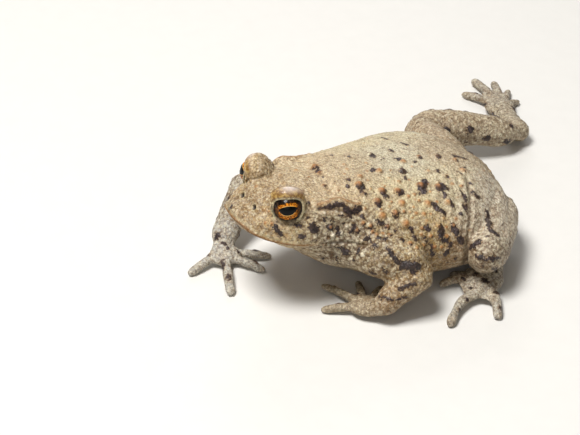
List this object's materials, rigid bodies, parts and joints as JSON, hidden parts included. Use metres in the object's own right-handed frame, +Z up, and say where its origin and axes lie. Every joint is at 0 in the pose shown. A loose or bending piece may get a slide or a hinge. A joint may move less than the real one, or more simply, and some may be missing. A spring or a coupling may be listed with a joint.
{
  "type": "common toad",
  "caption": "Common toad resting with its head raised, one hind leg folded at its side and the other stretched out behind; warty skin, long glands behind the eyes.",
  "frame": {"origin": "middle of the bounding box's base, on the floor", "axes": "+Z up; +Y from the snout towards the rear, so the toad faces -Y; +X is the toad's own left"},
  "size_m": [0.11, 0.1348, 0.0359],
  "materials": {
    "head": "moist, warty skin with a soft sheen",
    "torso": "moist, warty skin with a soft sheen",
    "upper_arm_left": "moist, warty skin with a soft sheen",
    "forearm_left": "moist, warty skin with a soft sheen",
    "hand_left": "moist, warty skin with a soft sheen",
    "upper_arm_right": "moist, warty skin with a soft sheen",
    "forearm_right": "moist, warty skin with a soft sheen",
    "hand_right": "moist, warty skin with a soft sheen",
    "thigh_left": "moist, warty skin with a soft sheen",
    "shank_left": "moist, warty skin with a soft sheen",
    "foot_left": "moist, warty skin with a soft sheen",
    "thigh_right": "moist, warty skin with a soft sheen",
    "shank_right": "moist, warty skin with a soft sheen",
    "foot_right": "moist, warty skin with a soft sheen",
    "eye_left": "wet gloss",
    "eye_right": "wet gloss"
  },
  "bodies": {
    "root": {"head": "head", "torso": "torso", "upper_arm_left": "upper_arm_left", "forearm_left": "forearm_left", "hand_left": "hand_left", "upper_arm_right": "upper_arm_right", "forearm_right": "forearm_right", "hand_right": "hand_right", "thigh_left": "thigh_left", "shank_left": "shank_left", "foot_left": "foot_left", "thigh_right": "thigh_right", "shank_right": "shank_right", "foot_right": "foot_right", "eye_left": "eye_left", "eye_right": "eye_right"}
  },
  "joints": []
}
